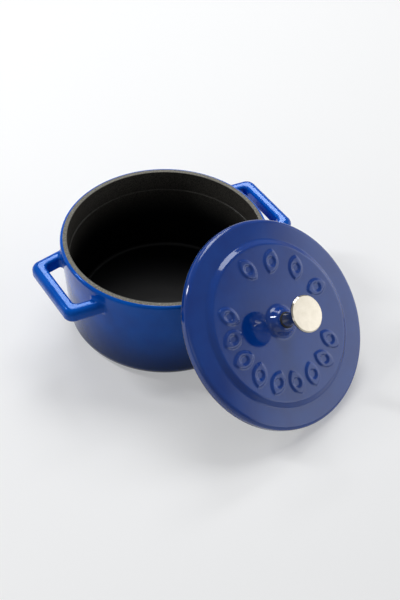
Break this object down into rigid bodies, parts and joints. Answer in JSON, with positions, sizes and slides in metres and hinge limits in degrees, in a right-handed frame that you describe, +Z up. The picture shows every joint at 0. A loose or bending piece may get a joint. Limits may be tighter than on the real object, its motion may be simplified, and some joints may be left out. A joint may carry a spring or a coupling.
{
  "type": "lidded casserole pot",
  "caption": "Round enamelled cast-iron pot with loop handles; its loose lid, with a steel knob, is off and leans on the rim.",
  "frame": {"origin": "middle of the pot's bare base, on the surface that it stands on", "axes": "+Z up along the pot's axis, +X through the middle of one loop handle; the lid leans on the rim on the -Y side"},
  "size_m": [0.2225, 0.2603, 0.1168],
  "materials": {
    "raw_iron": "bare, rough, dark grey",
    "blue_enamel": "deep gloss",
    "black_enamel": "satin, slightly rough",
    "polished_steel": "polished",
    "fastener_steel": "bright zinc",
    "gasket": "matt"
  },
  "bodies": {
    "pot": {"pot_casting": "raw_iron", "pot_outer_enamel": "blue_enamel", "pot_lining_enamel": "black_enamel"},
    "lid": {"lid_casting": "raw_iron", "lid_outer_enamel": "blue_enamel", "lid_lining_enamel": "black_enamel", "knob": "polished_steel", "knob_gasket": "gasket", "knob_screw": "fastener_steel", "flat_washer": "fastener_steel", "lock_washer": "fastener_steel"}
  },
  "joints": [
    {"name": "lid_lift", "type": "slide", "parent": "pot", "child": "lid", "axis": [0, 0, 1], "range_m": [0, 0.12]}
  ]
}
